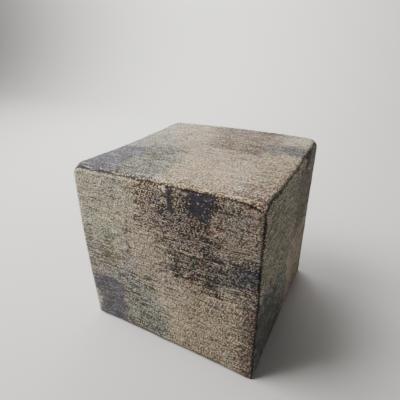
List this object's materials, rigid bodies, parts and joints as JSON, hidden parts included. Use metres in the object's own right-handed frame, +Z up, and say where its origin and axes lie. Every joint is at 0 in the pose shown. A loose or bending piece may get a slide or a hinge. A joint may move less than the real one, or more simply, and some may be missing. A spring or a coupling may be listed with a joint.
{
  "type": "cube pouf stool",
  "caption": "Cube-shaped upholstered pouf to sit on or rest feet on: a firm filled cube in a sewn cover of coarse mottled cloth, standing flat on its base.",
  "frame": {"origin": "on the floor under the middle of the base", "axes": "+X to the right along the front, +Y to the back, +Z up; the front panel faces -Y"},
  "size_m": [0.459, 0.45, 0.444],
  "materials": {
    "cover_cloth": "matt coarse weave, beige and brown with worn slate and navy patches",
    "filling": "matt, hidden by the cover"
  },
  "bodies": {
    "root": {"top_panel": "cover_cloth", "front_panel": "cover_cloth", "right_panel": "cover_cloth", "back_panel": "cover_cloth", "left_panel": "cover_cloth", "base_panel": "cover_cloth", "filled_body": "filling"}
  },
  "joints": []
}
